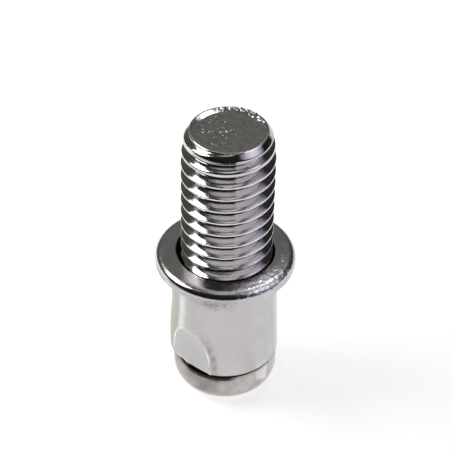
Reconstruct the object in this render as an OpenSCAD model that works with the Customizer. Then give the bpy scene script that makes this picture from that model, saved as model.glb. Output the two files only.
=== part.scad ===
// Blind rivet stud: a headed, threaded stud held in a flanged sleeve by one crimp.
// It stands on its head. Z runs up the axis from the head's underside, and the front is -Y.

/* [Thread] */
// Major diameter of the thread
thread_d = 8; // [6:0.1:8.2]
// Pitch of the thread
thread_pitch = 1.25; // [1:0.05:1.5]
// Radial depth of the thread groove
thread_depth = 0.74; // [0.4:0.01:0.8]
// Included angle between the thread's flanks
flank_angle = 60; // [50:1:65]
// Direction in which the groove starts above the flange, round the axis from the front
thread_turn = -143; // [-180:1:180]
// How far the crests come in towards the end
end_inset = 0.27; // [0.05:0.01:0.6]
// Length over which the crests come in
end_taper = 2.2; // [0.8:0.05:3]
// Chamfer at the edge of the end face
end_chamfer = 0.45; // [0.1:0.05:0.7]
// Turns over which the groove fades out above the flange
runout_turns = 0.5; // [0.25:0.05:1]

/* [Stud] */
// Height of the end face above the flange
stud_reach = 12.55; // [8:0.05:30]
// Plain length between the flange's top and the thread
plain_reach = 0.7; // [0.3:0.05:2]
// Gap between the plain shank and the sleeve's bore
shank_gap = 0.41; // [0.1:0.01:0.6]
// Gap between the stud's collar and the sleeve's bore
collar_gap = 0.16; // [0.05:0.01:0.3]
// Length of the collar inside the sleeve
collar_depth = 1; // [0.5:0.1:2.5]
// Height of the cone between the shank and the collar
neck_h = 0.2; // [0.1:0.05:0.3]
// Diameter of the head
head_d = 9.35; // [8.8:0.05:10]
// Height of the head
head_h = 3.85; // [3:0.05:6]
// Radius of the head's lower edge
head_round = 2.1; // [0.5:0.1:2.5]
// Radius of the head's upper edge
head_lip = 0.35; // [0.1:0.05:0.5]

/* [Sleeve] */
// Outside diameter of the sleeve's straight part, which fills the hole in the sheet
sleeve_top_d = 9.36; // [9.1:0.02:10]
// Length of the straight part below the flange
grip_l = 4; // [2.5:0.1:4.5]
// Outside diameter of the sleeve at its lower end
sleeve_low_d = 9.7; // [9.4:0.02:10.5]
// Thickness of the sleeve's wall
sleeve_wall = 0.47; // [0.3:0.01:0.5]
// Length of the sleeve from its lower end to the flange's top
sleeve_l = 10.92; // [8:0.02:20]
// Radius of the sleeve's lower outer edge
sleeve_lip = 0.3; // [0.05:0.05:0.35]
// Diameter of the flange
flange_d = 12.26; // [11.5:0.02:16]
// Thickness of the flange
flange_t = 1.2; // [1.1:0.05:2]
// Radius of the flange's outer edges
flange_round = 0.5; // [0.1:0.05:0.5]
// Chamfer at the bore's upper edge
bore_chamfer = 0.15; // [0.05:0.05:0.3]

/* [Crimp] */
// Direction that the crimp flat faces, round the axis from the front
crimp_angle = -42; // [-180:1:180]
// Height of the crimp flat's straight part above the sleeve's lower end
crimp_h = 1.4; // [0.5:0.1:4]
// Radius of the run-in above the straight part
crimp_nose = 10; // [4:0.5:14]
// Gap between the crimped wall and the shank
crimp_gap = 0.02; // [0.01:0.01:0.1]

/* [Hidden] */
$fn = 96;

steel = "#b9b6b9";
dark_steel = "#8f8c90";

flange_z = head_h + sleeve_l;
end_z = flange_z + stud_reach;
thread_z = flange_z + plain_reach;
thread_r = thread_d / 2;
head_r = head_d / 2;
sleeve_low_r = sleeve_low_d / 2;
sleeve_top_r = sleeve_top_d / 2;
bore_r = sleeve_top_r - sleeve_wall;
shank_r = bore_r - shank_gap;
collar_r = bore_r - collar_gap;
collar_z = flange_z - collar_depth;
// Heights above the sleeve's lower end at which the flare starts and ends
rim_h = 2 * sleeve_lip;
flare_h = sleeve_l - flange_t - grip_l;
flange_r = flange_d / 2;
crimp_r = shank_r + crimp_gap + sleeve_wall;

// The groove is cut a little past the crests and the end face, so that no thin skin is left
cut_past = 0.08;
// Straight sides in one turn of the groove
turn_sides = 36;
flank_tan = tan(flank_angle / 2);
// Half the groove's width at the crests leaves a crest an eighth of the pitch wide
groove_half = thread_pitch * 7 / 16;
root_half = groove_half - thread_depth * flank_tan;
lip_half = groove_half + cut_past * flank_tan;
// The groove starts a quarter of a pitch above the plain length and leaves through the end face
groove_z = thread_z + thread_pitch / 4;
groove_turns = (end_z - groove_z) / thread_pitch + 1;
groove_steps = ceil(groove_turns * turn_sides);

// Share of the full depth that the groove has after a number of turns from its lower end
function groove_share(turns) = min(1, turns / runout_turns);
function groove_ring(i) =
    let (turns = i / turn_sides,
         a = 360 * turns - 90 + thread_turn,
         z = groove_z + thread_pitch * turns,
         lift = (1 - groove_share(turns)) * (thread_depth + cut_past / 2),
         root = thread_r - thread_depth + lift,
         lip = thread_r + cut_past + lift)
    [for (p = [[root, -root_half], [lip, -lip_half], [lip, lip_half], [root, root_half]])
        [p[0] * cos(a), p[0] * sin(a), z + p[1]]];

// One helical groove, swept as rings of four points
module thread_groove() {
    ring_points = [for (i = [0 : groove_steps]) each groove_ring(i)];
    wall_faces = [for (i = [0 : groove_steps - 1], k = [0 : 3])
        let (a = 4 * i + k, b = 4 * i + (k + 1) % 4)
        each [[a, b, b + 4], [a, b + 4, a + 4]]];
    last = 4 * groove_steps;
    polyhedron(ring_points,
        concat([[3, 2, 1, 0]], wall_faces, [[last, last + 1, last + 2, last + 3]]));
}

// The head as half a turned profile, with a wide arc below and a narrow one above
module head_profile() {
    square([head_r - head_round, head_h]);
    translate([0, head_round]) square([head_r - head_lip, head_h - head_round]);
    translate([0, head_round]) square([head_r, head_h - head_round - head_lip]);
    intersection() {
        translate([head_r - head_round, head_round]) circle(head_round);
        square([head_r, head_round]);
    }
    translate([head_r - head_lip, head_h - head_lip]) circle(head_lip);
}

// The shank, its collar, the thread's crests and the tapered end as half a turned profile
module shank_profile() {
    polygon([
        [0, head_round],
        [shank_r, head_round],
        [shank_r, collar_z - neck_h],
        [collar_r, collar_z],
        [collar_r, thread_z],
        [thread_r, thread_z],
        [thread_r, end_z - end_taper],
        [thread_r - end_inset, end_z - end_chamfer],
        [thread_r - end_inset - end_chamfer, end_z],
        [0, end_z],
    ]);
}

module stud_blank() {
    rotate_extrude() head_profile();
    rotate_extrude() shank_profile();
}

module threaded_stud() {
    color(dark_steel) difference() {
        stud_blank();
        thread_groove();
    }
}

// The press tool's form beside the sleeve, grown towards the axis by inset
module crimp_form(inset) {
    rotate([0, 0, crimp_angle - 90]) rotate([90, 0, 0])
        linear_extrude(height = sleeve_low_d, center = true) {
            translate([crimp_r - inset, -sleeve_l])
                square([crimp_nose + inset, sleeve_l + head_h + crimp_h]);
            translate([crimp_r + crimp_nose, head_h + crimp_h]) circle(crimp_nose + inset);
        }
}

// The flange as half a turned profile, with both outer edges rounded
module flange_profile() {
    square([flange_r - flange_round, flange_t]);
    translate([0, flange_round]) square([flange_r, flange_t - 2 * flange_round]);
    for (z = [flange_round, flange_t - flange_round])
        translate([flange_r - flange_round, z]) circle(flange_round);
}

// The sleeve's outside as half a turned profile, with a rim, a flare and a straight part
module sleeve_profile() {
    square([sleeve_low_r - sleeve_lip, rim_h]);
    translate([sleeve_low_r - sleeve_lip, sleeve_lip]) circle(sleeve_lip);
    polygon([
        [0, sleeve_lip],
        [sleeve_low_r, sleeve_lip],
        [sleeve_low_r, rim_h],
        [sleeve_top_r, flare_h],
        [sleeve_top_r, sleeve_l],
        [0, sleeve_l],
    ]);
}

module sleeve_outside() {
    translate([0, 0, head_h]) rotate_extrude() sleeve_profile();
    translate([0, 0, flange_z - flange_t]) rotate_extrude() flange_profile();
}

// The sleeve's bore, which follows the wall and is flattened behind the crimp
module sleeve_bore() {
    difference() {
        translate([0, 0, head_h]) {
            cylinder(r1 = sleeve_low_r - sleeve_wall, r2 = bore_r, h = flare_h);
            translate([0, 0, flare_h]) cylinder(r = bore_r, h = sleeve_l - flare_h);
        }
        crimp_form(sleeve_wall);
    }
}

module flanged_sleeve() {
    color(steel) difference() {
        sleeve_outside();
        crimp_form(0);
        sleeve_bore();
        translate([0, 0, flange_z - bore_chamfer])
            cylinder(r1 = bore_r, r2 = bore_r + bore_chamfer, h = bore_chamfer);
    }
}

threaded_stud();
flanged_sleeve();
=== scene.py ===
import math

import bpy
import numpy as np
from mathutils import Matrix, Vector


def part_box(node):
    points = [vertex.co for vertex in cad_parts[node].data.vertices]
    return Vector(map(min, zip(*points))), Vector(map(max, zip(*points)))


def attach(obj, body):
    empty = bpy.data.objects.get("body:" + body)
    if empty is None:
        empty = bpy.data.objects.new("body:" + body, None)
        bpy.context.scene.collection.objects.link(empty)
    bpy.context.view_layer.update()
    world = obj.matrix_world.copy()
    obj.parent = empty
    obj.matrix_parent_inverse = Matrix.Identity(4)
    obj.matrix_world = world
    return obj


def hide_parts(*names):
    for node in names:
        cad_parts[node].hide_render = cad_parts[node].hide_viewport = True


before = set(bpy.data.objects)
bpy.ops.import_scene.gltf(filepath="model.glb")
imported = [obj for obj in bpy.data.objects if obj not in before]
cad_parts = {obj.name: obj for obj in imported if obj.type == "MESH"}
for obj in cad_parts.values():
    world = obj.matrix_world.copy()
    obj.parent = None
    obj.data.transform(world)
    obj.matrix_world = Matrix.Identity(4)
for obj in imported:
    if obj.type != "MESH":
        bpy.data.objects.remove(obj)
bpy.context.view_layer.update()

mm = 0.001
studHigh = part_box("threaded_stud")[1]
sleeveLow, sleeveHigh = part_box("flanged_sleeve")
headTop = sleeveLow.z / mm  # the sleeve stands on the head
flangeTop = sleeveHigh.z / mm
endTop = studHigh.z / mm
print("frame loaded, end of the stud at", round(endTop, 2), "mm")


# shape helpers, all in millimetres

def smooth(low, high, value):
    share = np.clip((value - low) / (high - low), 0.0, 1.0)
    return share * share * (3.0 - 2.0 * share)


def hump(value, middle, spread):
    return np.exp(-((value - middle) / spread) ** 2)


def turnFrom(angle, middle):  # signed degrees between two directions
    return (angle - middle + 180.0) % 360.0 - 180.0


def roundedPath(corners, arcStep=8.0):
    # corners are (across, up, rounding), and a rounded one becomes an arc
    spots = [np.array(corner[:2], float) for corner in corners]
    path = []
    for index, here in enumerate(spots):
        radius = corners[index][2]
        if not radius:
            path.append(here)
            continue
        back = spots[index - 1] - here
        ahead = spots[(index + 1) % len(spots)] - here
        back /= np.linalg.norm(back)
        ahead /= np.linalg.norm(ahead)
        half = math.acos(float(np.clip(back @ ahead, -1, 1))) / 2
        middle = back + ahead
        centre = here + middle / np.linalg.norm(middle) * radius / math.sin(half)
        first = here + back * radius / math.tan(half) - centre
        last = here + ahead * radius / math.tan(half) - centre
        start = math.atan2(first[1], first[0])
        sweep = math.atan2(last[1], last[0]) - start
        sweep = (sweep + math.pi) % (2 * math.pi) - math.pi
        count = max(3, math.ceil(abs(math.degrees(sweep)) / arcStep))
        for step in range(count + 1):
            angle = start + sweep * step / count
            path.append(centre + radius * np.array([math.cos(angle), math.sin(angle)]))
    return np.array(path)


def spaced(path, longest):  # splits long straight stretches evenly
    points = [path[0]]
    for first, last in zip(path[:-1], path[1:]):
        parts = max(1, math.ceil(np.linalg.norm(last - first) / longest))
        points += [first + (last - first) * step / parts for step in range(1, parts + 1)]
    return np.array(points)


def ripple(angle, height, seed, waves=9, fine=40.0):
    # repeatable unevenness from a few crossed waves, about -1 to 1
    draw = np.random.default_rng(seed)
    total = np.zeros(np.broadcast(angle, height).shape)
    for wave in range(waves):
        around = draw.integers(2, int(fine))
        along = draw.uniform(-1.0, 1.0) * fine / 8
        total += np.sin(np.radians(angle) * around + height * along + draw.uniform(0, 6.28))
    return total / math.sqrt(waves)


def onAxis(radius, angle, height):  # angle in degrees, from +X towards +Y
    turn = np.radians(angle)
    return np.stack(np.broadcast_arrays(radius * np.cos(turn), radius * np.sin(turn), height), -1)


def ringFaces(lower, upper):  # quads between two rings of vertex numbers
    return np.stack([lower, np.roll(lower, -1), np.roll(upper, -1), upper], -1)


def meshPiece(name, points, faces, finishes, finishOf, painted_shade, scuff, painted_highlight):
    cleaned, tones = [], []
    for face, tone in zip(faces, finishOf):
        kept = [v for k, v in enumerate(face) if v != face[k - 1]]
        if len(kept) > 2:
            cleaned.append(kept)
            tones.append(tone)
    mesh = bpy.data.meshes.new(name)
    mesh.from_pydata((np.asarray(points) * mm).tolist(), [], cleaned)
    for finish in finishes:
        mesh.materials.append(finish)
    mesh.polygons.foreach_set("material_index", np.array(tones, np.int32))
    mesh.polygons.foreach_set("use_smooth", np.ones(len(cleaned), bool))
    # point marks: painted shade, rough patches and painted highlights
    for label, values in (("painted_shade", painted_shade), ("scuff", scuff), ("painted_highlight", painted_highlight)):
        mesh.attributes.new(label, "FLOAT", "POINT").data.foreach_set("value", values.astype(np.float32))
    mesh.validate()
    mesh.update()
    mesh.set_sharp_from_angle(angle=math.radians(38))
    piece = bpy.data.objects.new(name, mesh)
    bpy.context.scene.collection.objects.link(piece)
    print(name, len(mesh.vertices), "points", len(mesh.polygons), "faces")
    return piece


# finishes

def node(tree, kind, place=(0, 0), **inputs):
    made = tree.nodes.new(kind)
    made.location = place
    for key, value in inputs.items():
        made.inputs[key.replace("_", " ")].default_value = value
    return made


def setRange(made, *values):
    for socket, value in zip(("From Min", "From Max", "To Min", "To Max"), values):
        made.inputs[socket].default_value = value


def platedFinish(name, look):
    finish = bpy.data.materials.new(name)
    finish.use_nodes = True
    tree = finish.node_tree
    link = tree.links.new
    shader = tree.nodes["Principled BSDF"]
    shader.inputs["Metallic"].default_value = 1.0
    where = node(tree, "ShaderNodeTexCoord", (-1400, 0))
    inMillimetres = node(tree, "ShaderNodeMapping", (-1200, 0), Scale=(1000, 1000, 1000))
    link(where.outputs["Object"], inMillimetres.inputs["Vector"])

    # plating tone drifts over a few millimetres
    drift = node(tree, "ShaderNodeTexNoise", (-900, 300), Scale=look["driftScale"], Detail=4.0, Roughness=0.6)
    link(inMillimetres.outputs["Vector"], drift.inputs["Vector"])
    tone = node(tree, "ShaderNodeValToRGB", (-650, 300))
    tone.color_ramp.elements[0].position = 0.32
    tone.color_ramp.elements[0].color = (*look["darkTone"], 1)
    tone.color_ramp.elements[1].position = 0.68
    tone.color_ramp.elements[1].color = (*look["paleTone"], 1)
    link(drift.outputs["Fac"], tone.inputs["Fac"])
    # painted shade: a point mark mixes the plating tone towards a dark colour
    painted_shade = node(tree, "ShaderNodeAttribute", (-900, 550))
    painted_shade.attribute_name = "painted_shade"
    shaded = node(tree, "ShaderNodeMix", (-300, 300))
    shaded.data_type = "RGBA"
    link(painted_shade.outputs["Fac"], shaded.inputs["Factor"])
    link(tone.outputs["Color"], shaded.inputs[6])
    shaded.inputs[7].default_value = (*look["shadeTone"], 1)
    # painted highlights: another point mark mixes the tone towards a pale colour
    painted_highlight = node(tree, "ShaderNodeAttribute", (-500, 550))
    painted_highlight.attribute_name = "painted_highlight"
    highlighted = node(tree, "ShaderNodeMix", (-100, 300))
    highlighted.data_type = "RGBA"
    link(painted_highlight.outputs["Fac"], highlighted.inputs["Factor"])
    link(shaded.outputs[2], highlighted.inputs[6])
    highlighted.inputs[7].default_value = (*look["highlightTone"], 1)
    link(highlighted.outputs[2], shader.inputs["Base Color"])

    # sheen varies with fine handling marks
    marks = node(tree, "ShaderNodeTexNoise", (-900, 0), Scale=look["markScale"], Detail=6.0, Roughness=0.65)
    link(inMillimetres.outputs["Vector"], marks.inputs["Vector"])
    sheen = node(tree, "ShaderNodeMapRange", (-650, 0))
    setRange(sheen, 0.3, 0.7, *look["gloss"])
    link(marks.outputs["Fac"], sheen.inputs["Value"])
    scuff = node(tree, "ShaderNodeAttribute", (-900, -150))
    scuff.attribute_name = "scuff"
    dulled = node(tree, "ShaderNodeMath", (-400, 0))
    dulled.operation = "MULTIPLY_ADD"
    dulled.inputs[1].default_value = look["scuffDull"]
    link(scuff.outputs["Fac"], dulled.inputs[0])
    link(sheen.outputs["Result"], dulled.inputs[2])
    link(dulled.outputs[0], shader.inputs["Roughness"])

    # shallow waviness, then grain, as bump
    waviness = node(tree, "ShaderNodeTexNoise", (-900, -300), Scale=look["waveScale"], Detail=2.0)
    link(inMillimetres.outputs["Vector"], waviness.inputs["Vector"])
    wavyBump = node(tree, "ShaderNodeBump", (-400, -300), Strength=1.0, Distance=look["waveDepth"] * mm)
    link(waviness.outputs["Fac"], wavyBump.inputs["Height"])
    grain = node(tree, "ShaderNodeTexNoise", (-900, -600),
                 Scale=look["grainScale"], Detail=5.0, Roughness=0.7)
    link(inMillimetres.outputs["Vector"], grain.inputs["Vector"])
    grainBump = node(tree, "ShaderNodeBump", (-200, -400), Strength=1.0, Distance=look["grainDepth"] * mm)
    link(grain.outputs["Fac"], grainBump.inputs["Height"])
    link(wavyBump.outputs["Normal"], grainBump.inputs["Normal"])
    last = grainBump
    if "pitScale" in look:
        pits = node(tree, "ShaderNodeTexVoronoi", (-900, -900), Scale=look["pitScale"])
        link(inMillimetres.outputs["Vector"], pits.inputs["Vector"])
        cup = node(tree, "ShaderNodeMapRange", (-650, -900))
        cup.interpolation_type = "SMOOTHSTEP"
        setRange(cup, 0.04, look["pitSize"], 0.0, 1.0)
        link(pits.outputs["Distance"], cup.inputs["Value"])
        cluster = node(tree, "ShaderNodeTexNoise", (-900, -1150), Scale=look["clusterScale"], Detail=3.0)
        link(inMillimetres.outputs["Vector"], cluster.inputs["Vector"])
        thick = node(tree, "ShaderNodeMapRange", (-650, -1150))
        setRange(thick, 0.42, 0.62, 0.0, 1.0)
        link(cluster.outputs["Fac"], thick.inputs["Value"])
        gathered = node(tree, "ShaderNodeMath", (-400, -1000))
        gathered.operation = "MULTIPLY"
        link(cup.outputs["Result"], gathered.inputs[0])
        link(thick.outputs["Result"], gathered.inputs[1])
        scuffed = node(tree, "ShaderNodeMath", (-200, -1000))
        scuffed.operation = "MULTIPLY"
        link(gathered.outputs[0], scuffed.inputs[0])
        link(scuff.outputs["Fac"], scuffed.inputs[1])
        pitBump = node(tree, "ShaderNodeBump", (0, -500), Strength=1.0, Distance=look["pitDepth"] * mm)
        link(scuffed.outputs[0], pitBump.inputs["Height"])
        link(last.outputs["Normal"], pitBump.inputs["Normal"])
        last = pitBump
    link(last.outputs["Normal"], shader.inputs["Normal"])
    return finish


# besides the plating tones, each look gives a dark colour for painted shade and a pale colour for painted
# highlights
threadLook = {
    "darkTone": (0.59, 0.57, 0.58), "paleTone": (0.66, 0.64, 0.65), "driftScale": 0.6,
    "markScale": 4.0, "gloss": (0.08, 0.15),
    "waveScale": 1.2, "waveDepth": 0.004, "grainScale": 18.0, "grainDepth": 0.0012,
    "shadeTone": (0.30, 0.28, 0.28), "highlightTone": (0.90, 0.90, 0.88), "scuffDull": 0.2,
}
endLook = {
    "darkTone": (0.40, 0.39, 0.38), "paleTone": (0.59, 0.575, 0.57), "driftScale": 2.6,
    "markScale": 5.0, "gloss": (0.10, 0.24),
    "waveScale": 1.3, "waveDepth": 0.012, "grainScale": 9.0, "grainDepth": 0.003,
    "pitScale": 3.4, "pitSize": 0.34, "pitDepth": 0.03, "clusterScale": 0.8,
    "shadeTone": (0.75, 0.74, 0.74), "highlightTone": (0.90, 0.90, 0.88), "scuffDull": 0.0,
}
headLook = {
    "darkTone": (0.41, 0.375, 0.365), "paleTone": (0.57, 0.535, 0.535), "driftScale": 0.9,
    "markScale": 3.0, "gloss": (0.13, 0.24),
    "waveScale": 0.8, "waveDepth": 0.012, "grainScale": 14.0, "grainDepth": 0.002,
    "shadeTone": (0.026, 0.023, 0.02), "highlightTone": (0.90, 0.90, 0.88), "scuffDull": 0.2,
}
sleeveLook = {
    "darkTone": (0.48, 0.455, 0.46), "paleTone": (0.535, 0.51, 0.525), "driftScale": 0.35,
    "markScale": 2.5, "gloss": (0.16, 0.26),
    "waveScale": 0.7, "waveDepth": 0.006, "grainScale": 16.0, "grainDepth": 0.0015,
    "shadeTone": (0.16, 0.135, 0.12), "highlightTone": (0.90, 0.90, 0.88), "scuffDull": 0.2,
}
flangeLook = {
    "darkTone": (0.47, 0.45, 0.46), "paleTone": (0.57, 0.55, 0.57), "driftScale": 0.7,
    "markScale": 3.5, "gloss": (0.11, 0.25),
    "waveScale": 0.9, "waveDepth": 0.02, "grainScale": 10.0, "grainDepth": 0.004,
    "pitScale": 4.0, "pitSize": 0.32, "pitDepth": 0.03, "clusterScale": 1.4,
    "shadeTone": (0.26, 0.23, 0.22), "highlightTone": (0.90, 0.90, 0.90), "scuffDull": 0.1,
}
threadFinish = platedFinish("bright_thread", threadLook)
endFinish = platedFinish("sheared_end", endLook)
headFinish = platedFinish("pressed_head", headLook)
sleeveFinish = platedFinish("drawn_sleeve", sleeveLook)
flangeFinish = platedFinish("pressed_flange", flangeLook)
print("finishes made")


# the threaded stud

studForm = {
    "columns": 192,
    "headR": studHigh.x / mm, "headRound": 2.1, "headLip": 0.42,
    "shankR": 3.8, "neckH": 0.2, "plainReach": 0.7, "threadDepth": 0.9,
    "threadR": 4.0, "pitch": 1.25, "depth": 0.74, "flank": 30.0,
    "crestRound": 0.055, "rootRound": 0.2,
    "grooveTurn": -233.0, "runoutH": 0.5,
    "taperH": 3.25, "taperIn": 0.33, "taperBow": 1.5, "chamferR": 3.32, "chamferSlope": 0.8, "rimDrop": 0.05,
    "rimRise": 0.16, "rimIn": 0.17, "dishIn": 0.62, "dishDepth": 0.146,
    "slopeLeast": 0.1, "slopeBack": 92.0, "slopeReach": 96.0, "dishMiddle": 0.1,
    "nicks": 170, "nickDepth": 0.05, "nickSize": 0.06, "nickReach": 2.5,
    "burr": 0.06, "burrTurn": 66.0, "burrWide": 36.0,
    "crestWear": 0.009, "headPress": 0.30, "headSink": 0.2, "pressTurn": -106.0, "pressWide": 40.0,
    # marks, painted shade and painted highlights among them: where they lie round the axis and how far they
    # spread
    "shadePatchTurn": -116.0, "shadePatchWide": 26.0, "sparkleTurn": -30.0, "sparkleWide": 30.0,
    "grooveShadeTurn": -95.0, "grooveShadeRight": 18.0, "grooveShadeLeft": 46.0, "grooveShadeDown": 0.42, "grooveShadeDeeper": 0.32,
}


def threadStations(form):
    # one pitch of the thread from crest to crest, as places along the pitch and depths
    pitch, depth = form["pitch"], form["depth"]
    crest = pitch / 16
    foot = crest + depth * math.tan(math.radians(form["flank"]))
    half = roundedPath([
        (0, 0, 0), (crest, 0, form["crestRound"]),
        (foot, depth, form["rootRound"]), (pitch / 2, depth, 0)], 15)
    half = spaced(half, 0.16)
    mirrored = np.stack([pitch - half[-2:0:-1, 0], half[-2:0:-1, 1]], -1)
    return np.concatenate([half, mirrored])


def taperR(form, height):  # crests come in towards the end, slowly and then faster
    rimTop = endTop + form["rimRise"]
    share = np.clip((height - rimTop) / form["taperH"] + 1.0, 0.0, 1.0)
    crest = form["threadR"] - form["taperIn"] * share ** form["taperBow"]
    chamfer = form["chamferR"] + form["chamferSlope"] * (rimTop - height)
    blend = crest - chamfer
    return 0.5 * (crest + chamfer - np.sqrt(blend * blend + 0.0016))


def buildStud(form):
    columns = form["columns"]
    pitch = form["pitch"]
    threadZ = flangeTop + form["plainReach"]
    grooveZ = threadZ + pitch / 4
    rimTop = endTop + form["rimRise"]
    lowZ, highZ = flangeTop - form["threadDepth"], rimTop - form["rimDrop"]
    angle = np.arange(columns) * 360.0 / columns

    # plain turned rings from the middle of the underside up to the thread
    headR = form["headR"]
    lower = roundedPath([
        (0, 0, 0), (headR, 0, form["headRound"]), (headR, headTop, form["headLip"]),
        (form["shankR"], headTop, 0), (form["shankR"], lowZ - form["neckH"], 0),
        (form["threadR"], lowZ, 0)], 5)
    lower = spaced(lower, 0.22)[1:]
    rows = []
    for r, z in lower:
        beside = hump(turnFrom(angle, form["pressTurn"]), 0.0, form["pressWide"])
        inward = form["headPress"] * beside * smooth(headTop - 1.5, headTop, z) * (r > form["shankR"])
        sunk = form["headSink"] / form["headPress"] * inward * smooth(form["shankR"], form["shankR"] + 0.3, r)
        rows.append(onAxis(r - inward, angle, z - sunk))

    # rows that climb with the thread, closed round the axis one pitch higher
    stations = threadStations(form)
    perTurn = len(stations)
    turns = math.ceil((highZ - lowZ) / pitch) + 2
    along = (stations[:, 0][None, :] + pitch * np.arange(-1, turns)[:, None]).ravel()
    crestZ = grooveZ + pitch / 2 + pitch * turnFrom(0.0, form["grooveTurn"]) / 360.0
    shift = ((lowZ - crestZ) // pitch) * pitch
    height = crestZ + shift + along[:, None] + pitch * angle[None, :] / 360.0
    height = np.clip(height, lowZ, highZ)

    # depth of the groove at each point, fading out at its lower end
    climb = (height - grooveZ) / pitch
    lap = (angle[None, :] - form["grooveTurn"]) / 360.0
    nearest = np.round(climb - lap)
    offset = (climb - lap - nearest) * pitch
    fromCrest = pitch / 2 - np.abs(offset)
    groove = np.interp(fromCrest, stations[:, 0], stations[:, 1])
    fade = np.clip((height - lowZ) / form["runoutH"], 0.0, 1.0)
    groove = np.maximum(0.0, groove - (1.0 - fade) * form["depth"])
    wearAndHighlight = form["crestWear"] * ripple(angle[None, :], height * 5, 3, 14, 90) * (groove < 0.08)
    radius = np.minimum(form["threadR"] - groove - np.abs(wearAndHighlight), taperR(form, height))
    helix = onAxis(radius, angle[None, :], height)

    # rim and dished end face
    rimR = float(taperR(form, highZ))
    upper = roundedPath([
        (rimR, highZ, 0), (rimR - form["rimDrop"], rimTop, 0.03), (rimR - form["rimIn"], rimTop, 0.03),
        (rimR - form["dishIn"], rimTop - form["dishDepth"], 0.12), (0, rimTop - form["dishDepth"], 0)], 10)
    upper = spaced(upper, 0.09)
    torn = form["burr"] * hump(turnFrom(angle, form["burrTurn"]), 0.0, form["burrWide"])
    # the slope from the rim to the end face is wide at the back and narrow at the front
    rimInner, floorR = rimR - form["rimIn"], rimR - form["dishIn"]
    widest = rimInner - floorR
    atBack = smooth(form["slopeReach"], form["slopeReach"] / 2, np.abs(turnFrom(angle, form["slopeBack"])))
    slopeShare = (form["slopeLeast"] + (widest - form["slopeLeast"]) * atBack) / widest
    draw = np.random.default_rng(64)
    reach = form["nickReach"]
    nickAt = draw.uniform(-reach, reach, (form["nicks"] * 3, 2))  # most nicks are on the left
    kept = draw.random(len(nickAt)) < smooth(1.6, -1.8, nickAt[:, 0]) * 0.9 + 0.1
    nickAt = nickAt[kept & (np.hypot(nickAt[:, 0], nickAt[:, 1]) < reach)][:form["nicks"]]
    nickDeep = form["nickDepth"] * draw.uniform(0.2, 1.0, len(nickAt))
    capRows = []
    for k, (r, z) in enumerate(upper[:-1]):
        drop = (rimTop - z) * slopeShare
        inside = min(1.0, r / floorR)
        if r < rimInner:
            wider = (rimInner - max(r, floorR)) * slopeShare
            r = (rimInner - wider) * inside
            z = rimTop - drop * inside ** 2 - form["dishMiddle"] * (1.0 - inside ** 2)
        if inside < 0.99:
            off = onAxis(r, angle, 0.0)[:, None, :2] - nickAt[None]
            z = z - (nickDeep * hump(np.hypot(off[..., 0], off[..., 1]), 0.0, form["nickSize"])).sum(-1)
        loose = torn * smooth(floorR - 0.1, rimInner, r) * (k > 0)
        outward = loose * ripple(angle, z * 9, 21, 12, 90)
        upward = loose * ripple(angle, r * 9, 22, 12, 90)
        capRows.append(onAxis(r + outward, angle, z + upward))

    points = [np.array([[0.0, 0.0, 0.0]])] + rows
    count = 1 + len(rows) * columns
    faces, tones = [], []

    def ring(k):
        return 1 + k * columns + np.arange(columns)

    def addFaces(quads, tone):
        faces.extend(quads.tolist())
        tones.extend([tone] * len(quads))

    first = ring(0)
    addFaces(np.stack([np.zeros(columns, int), np.roll(first, -1), first], -1), 1)
    for k in range(len(rows) - 1):
        addFaces(ringFaces(ring(k), ring(k + 1)), 1 if lower[k][1] < headTop else 0)
    lowRing = ring(len(rows) - 1)
    capStart = count
    highRing = capStart + np.arange(columns)
    points += capRows
    count += len(capRows) * columns
    number = count + np.arange(helix[..., 0].size).reshape(helix.shape[:2])
    points.append(helix.reshape(-1, 3))
    number = np.where(height <= lowZ, lowRing[None, :], number)
    number = np.where(height >= highZ, highRing[None, :], number)
    side = number[:, :-1], number[:, 1:]
    quads = np.stack([side[0][:-1], side[1][:-1], side[1][1:], side[0][1:]], -1).reshape(-1, 4)
    addFaces(quads, 0)
    last, turned = number[:-perTurn, -1], number[perTurn:, 0]
    addFaces(np.stack([last[:-1], turned[:-1], turned[1:], last[1:]], -1), 0)
    for k in range(len(capRows) - 1):
        lowerRing = capStart + k * columns + np.arange(columns)
        addFaces(ringFaces(lowerRing, lowerRing + columns), 2)
    tip = count + helix[..., 0].size
    points.append(np.array([[0.0, 0.0, rimTop - form["dishMiddle"]]]))
    lastRing = capStart + (len(capRows) - 1) * columns + np.arange(columns)
    addFaces(np.stack([lastRing, np.roll(lastRing, -1), np.full(columns, tip)], -1), 2)
    points = np.concatenate(points)
    turn = np.degrees(np.arctan2(points[:, 1], points[:, 0]))
    # painted shade on the front-left of the head, for the shadow its rounding reflects from the floor
    shadePatch = hump(turnFrom(turn, form["shadePatchTurn"]), 0.0, form["shadePatchWide"])
    shadePatch = shadePatch * smooth(0.6, 1.6, points[:, 2]) * (points[:, 2] < headTop)
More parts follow.
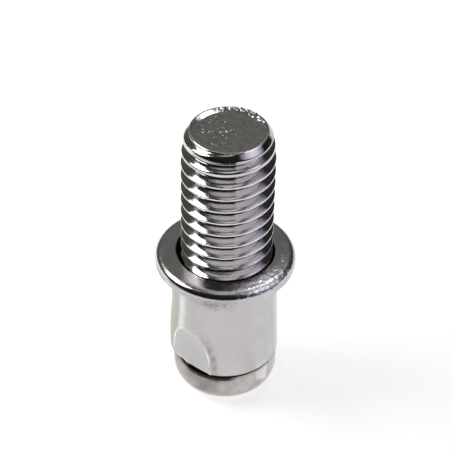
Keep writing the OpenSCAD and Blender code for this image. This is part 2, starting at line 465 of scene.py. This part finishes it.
    # black painted shade in the groove under the sleeve, which ends soon at the right of the front
    fromFront = turnFrom(turn, form["grooveShadeTurn"])
    dark = hump(fromFront, 0.0, np.where(fromFront > 0, form["grooveShadeRight"], form["grooveShadeLeft"]))
    foot = headTop - form["grooveShadeDown"] - form["grooveShadeDeeper"] * dark + 0.03 * ripple(turn, 0.0, 8, 9, 40)
    grooveShade = np.clip(0.15 + 1.2 * dark, 0.0, 1.0) * smooth(foot - 0.2, foot, points[:, 2])
    grooveShade = np.where(points[:, 2] < headTop + 0.1, grooveShade, 0.0)
    painted_shade = np.clip(0.5 * shadePatch * (0.85 + 0.2 * ripple(turn, points[:, 2] * 2, 5, 9, 14)) + grooveShade, 0.0, 1.0)
    away = np.hypot(points[:, 0], points[:, 1])
    scuff = smooth(rimR - form["dishIn"], rimR - form["dishIn"] - 0.3, away) * (points[:, 2] > rimTop - 0.5)
    scuff *= smooth(2.4, -1.4, points[:, 0]) * 0.85 + 0.15
    # painted highlights: along the front of the end's rim, and along the thread crests, stronger where they
    # sparkle at the front-right
    onRim = hump(points[:, 2], rimTop, 0.05) * smooth(rimR - form["rimIn"] - 0.1, rimR - form["rimIn"], away)
    onRim *= smooth(0.5, -1.5, points[:, 1])
    crest = smooth(0.05, 0.0, form["threadR"] - away) * (points[:, 2] > flangeTop)
    sparkle = smooth(0.5, 1.5, ripple(turn, points[:, 2] * 5, 31, 12, 80))
    sparkle = sparkle * hump(turnFrom(turn, form["sparkleTurn"]), 0.0, form["sparkleWide"])
    painted_highlight = np.clip(onRim + crest * (0.25 + sparkle), 0.0, 1.0)
    finishes = [threadFinish, headFinish, endFinish]
    return meshPiece("plated_stud", points, faces, finishes, tones, painted_shade, scuff, painted_highlight)


stud = buildStud(studForm)


# the flanged sleeve

sleeveForm = {
    "topR": 4.68, "lowR": 4.85, "wall": 0.47, "grip": 4.0, "lip": 0.3,
    "flangeR": sleeveHigh.x / mm, "flangeT": 1.2, "flangeLow": 0.12, "flangeTopRound": 0.72, "crown": 0.1,
    "keenRim": 0.38, "keenTurn": -165.0, "keenWide": 38.0,
    "boreR": 4.3, "boreChamfer": 0.08, "underFillet": 0.1,
    "offAxis": (-0.09, -0.09),
    "crimpTurn": -132.0, "crimpR": 4.29, "crimpH": 1.4, "crimpNose": 10.0,
    "crispSide": 0.025, "softSide": 0.05,
    "ridge": 0.06, "ridgeWidth": 0.06, "bulge": 0.08, "closeSpan": 48.0, "flatSpan": 75.0,
    # marks, painted shade and painted highlights among them: where they lie round the axis and how far they
    # spread
    "shadePatchTurn": -101.0, "shadePatchWide": 20.0, "gapShadeTurn": -112.0, "gapShadeWide": 36.0,
    "footTurn": -146.0, "footWide": 13.0, "pitTurn": -46.0, "pitWide": 34.0,
    "rimHighlightTurn": -160.0, "rimHighlightWide": 26.0, "faceHighlightTurn": -52.0, "faceHighlightWide": 27.0,
}


def sleeveAngles(form):
    # close columns round the crimp, wide ones elsewhere
    span = form["closeSpan"]
    near = np.arange(-span, span, 0.6) + form["crimpTurn"]
    far = np.linspace(span, 360.0 - span, 133)[:-1] + form["crimpTurn"]
    return np.concatenate([near, far])


def crimpGap(form, angle, height):
    # how far the press flat lies inside the round wall, above zero within the flat
    flareZ = flangeTop - form["flangeT"] - form["grip"]
    flare = np.clip((flareZ - height) / (flareZ - headTop), 0, 1)
    outer = form["topR"] + (form["lowR"] - form["topR"]) * flare
    above = np.clip(height - headTop - form["crimpH"], 0, form["crimpNose"] * 0.9)
    flatX = form["crimpR"] + form["crimpNose"] - np.sqrt(form["crimpNose"] ** 2 - above ** 2)
    away = turnFrom(angle, form["crimpTurn"])
    span = form["flatSpan"]
    flatR = flatX / np.cos(np.radians(np.clip(away, -span, span)))
    return np.where(np.abs(away) < span, outer - flatR, -6.0), away


def crimpPush(form, angle, height):
    # the wall goes in at the flat, with a raised edge on its right and a slight bulge at its left
    gap, away = crimpGap(form, angle, height)
    soft = np.interp(away, [-15, 5], [form["softSide"], form["crispSide"]])
    push = 0.5 * (gap + np.sqrt(gap * gap + soft * soft)) * smooth(-1.5, -0.8, gap)
    ridge = form["ridge"] * hump(gap, 0.0, form["ridgeWidth"]) * smooth(0, 12, away)
    bulge = form["bulge"] * hump(away, -48, 18) * hump(height, 6.2, 2.0) * smooth(0.05, -0.1, gap)
    rim = 0.62 + 0.38 * smooth(headTop - 0.6, headTop + 2.6, height)  # the lower rim stays rounder
    return (push - ridge) * rim - bulge


# brown painted shade beside the crisp edge of the flat, painted shade under the flange, and painted shade in
# the gap above the head
def sleeveShade(form, angle, height):
    # brown bruise beside the crisp edge, and a smear under the flange
    gap, away = crimpGap(form, angle, height)
    edgeShade = 0.5 * hump(gap, -0.26, 0.2) * smooth(10, 20, away) * smooth(9.5, 6.5, height)
    shadePatch = hump(turnFrom(angle, form["shadePatchTurn"]), 0.0, form["shadePatchWide"])
    shadePatch = shadePatch * smooth(11.4, 12.25, height) * smooth(14.2, 13.9, height)
    groove = 0.3 + 0.6 * hump(turnFrom(angle, form["gapShadeTurn"]), 0.0, form["gapShadeWide"])
    groove = groove * smooth(headTop + 0.3, headTop + 0.1, height)
    patchy = 0.75 + 0.35 * ripple(angle, height, 11, 9, 50)
    specked = 0.55 + 0.2 * ripple(angle, height, 11, 9, 50) + 0.25 * ripple(angle, height * 7, 12, 14, 160)
    return np.clip(edgeShade * patchy + shadePatch * specked + groove, 0.0, 1.0)


# painted highlights: a bright line round the press flat, and a bright spot low on the wall
def sleeveHighlight(form, angle, height):
    # the press tool leaves a bright line round its flat
    gap, away = crimpGap(form, angle, height)
    line = hump(gap, 0.0, 0.04) * smooth(headTop + 5.0, headTop + 3.2, height)
    foot = hump(turnFrom(angle, form["footTurn"]), 0.0, form["footWide"])
    foot = foot * smooth(headTop + 0.42, headTop + 0.3, height)
    return np.clip((line + foot) * (0.5 + 0.3 * ripple(angle, height, 17, 9, 60)), 0.0, 1.0)


def buildSleeve(form):
    angle = sleeveAngles(form)
    flareZ = flangeTop - form["flangeT"] - form["grip"]
    under = flangeTop - form["flangeT"]
    boreR, innerR = form["boreR"], form["topR"] - form["wall"]
    chamfer = form["boreChamfer"]
    outline = roundedPath([
        (form["lowR"] - form["wall"], headTop, 0.05), (form["lowR"], headTop, form["lip"]),
        (form["topR"], flareZ, 0), (form["topR"], under, form["underFillet"]),
        (form["flangeR"], under, form["flangeLow"]),
        (form["flangeR"], flangeTop - form["crown"], form["flangeTopRound"]),
        (boreR + chamfer, flangeTop, 0.04), (boreR, flangeTop - chamfer, 0.04),
        (boreR, under, 0), (innerR, under - 0.5, 0), (innerR, flareZ, 0)], 8)
    outline = spaced(np.concatenate([outline, outline[:1]]), 0.1)[:-1]
    # the rim's rounding is tighter on the left
    cornerR, cornerZ = form["flangeR"], flangeTop - form["crown"]
    keen = form["keenRim"] * hump(turnFrom(angle, form["keenTurn"]), 0.0, form["keenWide"])
    rows, tops, shadeRows, highlightRows = [], [], [], []
    for r, z in outline:
        push = crimpPush(form, angle, z) if z < under - 0.5 else 0.0
        tops.append(z > under - 0.02 and r > boreR + 0.02)
        if min(r - cornerR, z - cornerZ) > -form["flangeTopRound"] - 0.001 and r > boreR + 0.5:
            r, z = r + keen * (cornerR - r), z + keen * (cornerZ - z)
        rows.append(onAxis(r - push, angle, z) + np.array([*form["offAxis"], 0.0]))
        shadeRows.append(sleeveShade(form, angle, z))
        highlightRows.append(sleeveHighlight(form, angle, z) if np.max(z) < under else np.zeros(len(angle)))
    count = len(angle)
    faces, tones = [], []
    for k in range(len(rows)):
        lower = k * count + np.arange(count)
        upper = (k + 1) % len(rows) * count + np.arange(count)
        faces.extend(ringFaces(lower, upper).tolist())
        tones.extend([1 if tops[k] else 0] * count)
    painted_shade = np.concatenate(shadeRows)
    points = np.concatenate(rows)
    turn = np.degrees(np.arctan2(points[:, 1], points[:, 0]))
    scuff = hump(turnFrom(turn, form["pitTurn"]), 0.0, form["pitWide"])
    scuff = scuff + 0.15 * hump(turnFrom(turn, 20.0), 0.0, 40.0)
    scuff *= (points[:, 2] > flangeTop - 0.6) * smooth(4.4, 5.0, np.hypot(points[:, 0], points[:, 1]))
    painted_highlight = np.concatenate(highlightRows)
    away = np.hypot(points[:, 0], points[:, 1])
    # painted highlights on the flange: its left rim and the front-right of its top face
    onRim = hump(turnFrom(turn, form["rimHighlightTurn"]), 0.0, form["rimHighlightWide"])
    onFace = hump(turnFrom(turn, form["faceHighlightTurn"]), 0.0, form["faceHighlightWide"])
    wearAndHighlight = onRim * smooth(5.4, 5.8, away) * 0.6
    wearAndHighlight += onFace * smooth(4.5, 5.1, away) * 2.0
    wearAndHighlight *= (points[:, 2] > flangeTop - 0.55) * (away > 4.42)
    painted_highlight = np.clip(painted_highlight + wearAndHighlight * (0.45 + 0.35 * ripple(turn, away * 14, 41, 16, 150)), 0.0, 1.0)
    return meshPiece("plated_sleeve", points, faces, [sleeveFinish, flangeFinish], tones, painted_shade, scuff, painted_highlight)


sleeve = buildSleeve(sleeveForm)
steelPieces = (
    (stud, "threaded_stud", "stud_steel"),
    (sleeve, "flanged_sleeve", "sleeve_steel"),
)
for piece, stoodFor, slotName in steelPieces:
    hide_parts(stoodFor)
    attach(piece, "root")
print("stud and sleeve in place")


# floor and lights

stageForm = {
    "floorHalf": 1.5, "floorTone": 0.80, "floorGlow": 0.72,
    "roomFront": 0.02, "roomBack": 0.21, "ceiling": 0.62, "ceilingAt": (0.0, -0.13, 0.99),
    "roomLeft": (0.35, 0.37, 0.26), "roomRight": (0.12, 0.11, 0.14),
}


def squareCorners(half):
    return [(-half, -half, 0), (half, -half, 0), (half, half, 0), (-half, half, 0)]


def layFloor(form):
    mesh = bpy.data.meshes.new("paper_floor")
    mesh.from_pydata(squareCorners(form["floorHalf"]), [], [(0, 1, 2, 3)])
    floor = bpy.data.objects.new("paper_floor", mesh)
    bpy.context.scene.collection.objects.link(floor)
    paper = bpy.data.materials.new("white_paper")
    paper.use_nodes = True
    tree = paper.node_tree
    tree.nodes.clear()
    link = tree.links.new
    matte = node(tree, "ShaderNodeBsdfDiffuse", (-200, 200), Color=(form["floorTone"],) * 3 + (1,))
    rays = node(tree, "ShaderNodeLightPath", (-800, -200))
    seen = node(tree, "ShaderNodeMath", (-600, -200))
    seen.operation = "MAXIMUM"
    link(rays.outputs["Is Camera Ray"], seen.inputs[0])
    link(rays.outputs["Is Glossy Ray"], seen.inputs[1])
    through = node(tree, "ShaderNodeMath", (-400, -200))
    through.operation = "MAXIMUM"
    link(seen.outputs[0], through.inputs[0])
    link(rays.outputs["Is Transmission Ray"], through.inputs[1])
    strength = node(tree, "ShaderNodeMath", (-300, -200))
    strength.operation = "MULTIPLY"
    strength.inputs[1].default_value = form["floorGlow"]
    link(through.outputs[0], strength.inputs[0])
    glow = node(tree, "ShaderNodeEmission", (-100, -100), Color=(1, 1, 1, 1))
    link(strength.outputs[0], glow.inputs["Strength"])
    both = node(tree, "ShaderNodeAddShader", (100, 100))
    link(matte.outputs[0], both.inputs[0])
    link(glow.outputs[0], both.inputs[1])
    result = node(tree, "ShaderNodeOutputMaterial", (300, 100))
    link(both.outputs[0], result.inputs["Surface"])
    mesh.materials.append(paper)


def dimRoom(form):
    # the room behind the object is a little lighter than the room in front
    world = bpy.data.worlds.new("dim_room")
    bpy.context.scene.world = world
    world.use_nodes = True
    tree = world.node_tree
    link = tree.links.new
    where = node(tree, "ShaderNodeTexCoord", (-800, 0))
    parts = node(tree, "ShaderNodeSeparateXYZ", (-600, 0))
    link(where.outputs["Generated"], parts.inputs[0])
    level = node(tree, "ShaderNodeMapRange", (-400, 0))
    setRange(level, -0.6, 0.8, form["roomFront"], form["roomBack"])
    link(parts.outputs["Y"], level.inputs["Value"])
    towards = node(tree, "ShaderNodeVectorMath", (-600, -300))
    towards.operation = "DOT_PRODUCT"
    towards.inputs[1].default_value = form["ceilingAt"]
    link(where.outputs["Generated"], towards.inputs[0])
    overhead = node(tree, "ShaderNodeMapRange", (-400, -300))
    setRange(overhead, 0.935, 0.985, 0.0, form["ceiling"])
    link(towards.outputs["Value"], overhead.inputs["Value"])
    together = node(tree, "ShaderNodeMath", (-200, -100))
    together.operation = "ADD"
    link(level.outputs["Result"], together.inputs[0])
    link(overhead.outputs["Result"], together.inputs[1])
    tint = node(tree, "ShaderNodeValToRGB", (-400, 300))
    tint.color_ramp.elements[0].color = (*form["roomLeft"], 1)
    tint.color_ramp.elements[1].color = (*form["roomRight"], 1)
    tint.color_ramp.elements.new(0.5).color = (1.0, 1.0, 0.94, 1)
    sideways = node(tree, "ShaderNodeMapRange", (-600, 300))
    sideways.inputs["From Min"].default_value = -0.7
    sideways.inputs["From Max"].default_value = 0.7
    link(parts.outputs["X"], sideways.inputs["Value"])
    link(sideways.outputs["Result"], tint.inputs["Fac"])
    background = tree.nodes["Background"]
    link(tint.outputs["Color"], background.inputs["Color"])
    link(together.outputs[0], background.inputs["Strength"])


# each softbox: where its middle is and its size in millimetres, then radiance and tint
softboxes = {
    "left_window": {"at": (-104, 6, 124), "size": (80, 70), "radiance": 5.5, "tint": (1.0, 1.0, 0.96)},
    "back_right": {"at": (45, 60, 145), "size": (48, 40), "radiance": 4.0, "tint": (0.98, 0.97, 1.0)},
    "back_left": {"at": (-60, 68, 132), "size": (30, 30), "radiance": 5.0, "tint": (1.0, 1.0, 0.97)},
}


def hangSoftbox(name, form):
    width, height = (side * mm for side in form["size"])
    light = bpy.data.lights.new(name, "AREA")
    light.shape = "RECTANGLE"
    light.size, light.size_y = width, height
    light.energy = form["radiance"] * math.pi * width * height
    light.color = form["tint"]
    box = bpy.data.objects.new(name, light)
    bpy.context.scene.collection.objects.link(box)
    box.location = Vector(form["at"]) * mm
    aim = Vector((0, 0, 15 * mm)) - box.location
    box.rotation_euler = aim.to_track_quat("-Z", "Y").to_euler()
    box.visible_camera = False


# cards that only shiny surfaces see: corners in millimetres, brightness and tint
reflectorForms = {
    "left_reflector": {
        "corners": ((-10.4, -2.3, 0.2), (-10.4, 0.45, 0.2), (-20, 4.2, 0.2), (-20, -0.8, 0.2)),
        "glow": 1.6, "tint": (0.96, 1.02, 0.98)},
    "near_shade": {
        "corners": ((-5.2, -3.1, 0.2), (-5.2, -1.6, 0.2), (-10.3, 0.4, 0.2), (-10.3, -2.3, 0.2)),
        "glow": 1.03, "tint": (0.99, 1.02, 0.99)},
    "left_shade": {
        "corners": ((-6, -1.1, 0.2), (-4, 30, 0.2), (-24, 30, 0.2), (-20, 4.4, 0.2)),
        "glow": 0.86, "tint": (0.95, 1.01, 0.88)},
    "flat_shade": {
        "corners": ((-5.4, -3.3, 0.2), (-20, -1.0, 0.2), (-22, -13, 0.2), (-6, -8, 0.2)),
        "glow": 1.04, "tint": (0.99, 1.02, 0.99)},
    "far_shade": {
        "corners": ((-20.4, -0.9, 0.2), (-68, 8, 0.2), (-68, -34, 0.2), (-22.4, -13, 0.2)),
        "glow": 0.98, "tint": (0.99, 1.0, 0.98)},
    "right_fill": {
        "corners": ((8, -9, 0.2), (22, -16, 0.2), (24, 6, 0.2), (8, 1, 0.2)),
        "glow": 1.07, "tint": (0.97, 0.99, 1.0)},
    "right_reflector": {
        "corners": ((5.2, -4.4, 0.2), (8.0, -5.4, 0.2), (8.0, -1.2, 0.2), (5.2, -2.2, 0.2)),
        "glow": 1.38, "tint": (0.92, 0.95, 1.05)},
}
veilForm = {"at": (102, -37, 118), "half": 88, "glow": 1.75, "tint": (0.88, 0.83, 1.0)}
flagForm = {"reach": 72, "from": -175.0, "to": -72.0, "height": 30}


def hideCard(card):
    card.visible_camera = False
    card.visible_diffuse = False
    card.visible_shadow = False


def layReflector(name, form):
    # a lit card lying on the table
    mesh = bpy.data.meshes.new(name)
    mesh.from_pydata([tuple(side * mm for side in corner) for corner in form["corners"]], [], [(0, 1, 2, 3)])
    card = bpy.data.objects.new(name, mesh)
    bpy.context.scene.collection.objects.link(card)
    lit = bpy.data.materials.new(name)
    lit.use_nodes = True
    tree = lit.node_tree
    tree.nodes.clear()
    glow = node(tree, "ShaderNodeEmission", (0, 0), Color=(*form["tint"], 1), Strength=form["glow"])
    result = node(tree, "ShaderNodeOutputMaterial", (200, 0))
    tree.links.new(glow.outputs[0], result.inputs["Surface"])
    mesh.materials.append(lit)
    hideCard(card)


def standFlag(form):
    # a dark curved flag in front, which ends the bright table for the flange's edge
    turn = np.linspace(form["from"], form["to"], 25)
    foot, top = (onAxis(form["reach"] * mm, turn, level) for level in (0.1 * mm, form["height"] * mm))
    count = len(turn)
    mesh = bpy.data.meshes.new("front_flag")
    quads = [(k, k + 1, k + 1 + count, k + count) for k in range(count - 1)]
    mesh.from_pydata(np.concatenate([foot, top]).tolist(), [], quads)
    flag = bpy.data.objects.new("front_flag", mesh)
    bpy.context.scene.collection.objects.link(flag)
    felt = bpy.data.materials.new("black_felt")
    felt.use_nodes = True
    shader = felt.node_tree.nodes["Principled BSDF"]
    shader.inputs["Base Color"].default_value = (0.012, 0.012, 0.012, 1)
    shader.inputs["Roughness"].default_value = 1.0
    mesh.materials.append(felt)
    hideCard(flag)


def hangVeil(form):
    # a lit veil at the right that fades out towards its edge
    half = form["half"] * mm
    mesh = bpy.data.meshes.new("right_veil")
    mesh.from_pydata(squareCorners(half), [], [(0, 1, 2, 3)])
    veil = bpy.data.objects.new("right_veil", mesh)
    bpy.context.scene.collection.objects.link(veil)
    veil.location = Vector(form["at"]) * mm
    aim = Vector((0, 0, 15 * mm)) - veil.location
    veil.rotation_euler = aim.to_track_quat("Z", "Y").to_euler()
    lit = bpy.data.materials.new("lit_veil")
    lit.use_nodes = True
    tree = lit.node_tree
    tree.nodes.clear()
    link = tree.links.new
    where = node(tree, "ShaderNodeTexCoord", (-900, 0))
    sized = node(tree, "ShaderNodeMapping", (-700, 0), Scale=(1 / half, 1 / half, 1))
    link(where.outputs["Object"], sized.inputs["Vector"])
    fade = node(tree, "ShaderNodeTexGradient", (-500, 0))
    fade.gradient_type = "SPHERICAL"
    link(sized.outputs["Vector"], fade.inputs["Vector"])
    strength = node(tree, "ShaderNodeMath", (-300, 0))
    strength.operation = "MULTIPLY"
    strength.inputs[1].default_value = form["glow"]
    link(fade.outputs["Fac"], strength.inputs[0])
    glow = node(tree, "ShaderNodeEmission", (-100, 0), Color=(*form["tint"], 1))
    link(strength.outputs[0], glow.inputs["Strength"])
    result = node(tree, "ShaderNodeOutputMaterial", (100, 0))
    link(glow.outputs[0], result.inputs["Surface"])
    mesh.materials.append(lit)
    hideCard(veil)


layFloor(stageForm)
for cardName, oneCard in reflectorForms.items():
    layReflector(cardName, oneCard)
hangVeil(veilForm)
standFlag(flagForm)
dimRoom(stageForm)
for boxName, boxForm in softboxes.items():
    hangSoftbox(boxName, boxForm)
print("floor, room and", len(softboxes), "softboxes ready")


# camera at the photo's viewing angle

cameraForm = {"at": (-0.1, -110.0, 107.22), "down": 39.28, "roll": 1.13, "lens": 131.5, "sensor": 36.0}


def placeCamera(form):
    data = bpy.data.cameras.new("camera")
    data.sensor_width = form["sensor"]
    data.lens = form["lens"]
    data.clip_start = 0.01
    camera = bpy.data.objects.new("camera", data)
    bpy.context.scene.collection.objects.link(camera)
    tilt = Matrix.Rotation(math.radians(90 - form["down"]), 4, "X")
    roll = Matrix.Rotation(math.radians(form["roll"]), 4, "Z")
    camera.matrix_world = Matrix.Translation(Vector(form["at"]) * mm) @ tilt @ roll
    bpy.context.scene.camera = camera


placeCamera(cameraForm)
bpy.context.scene.view_settings.view_transform = "Standard"
print("camera placed")
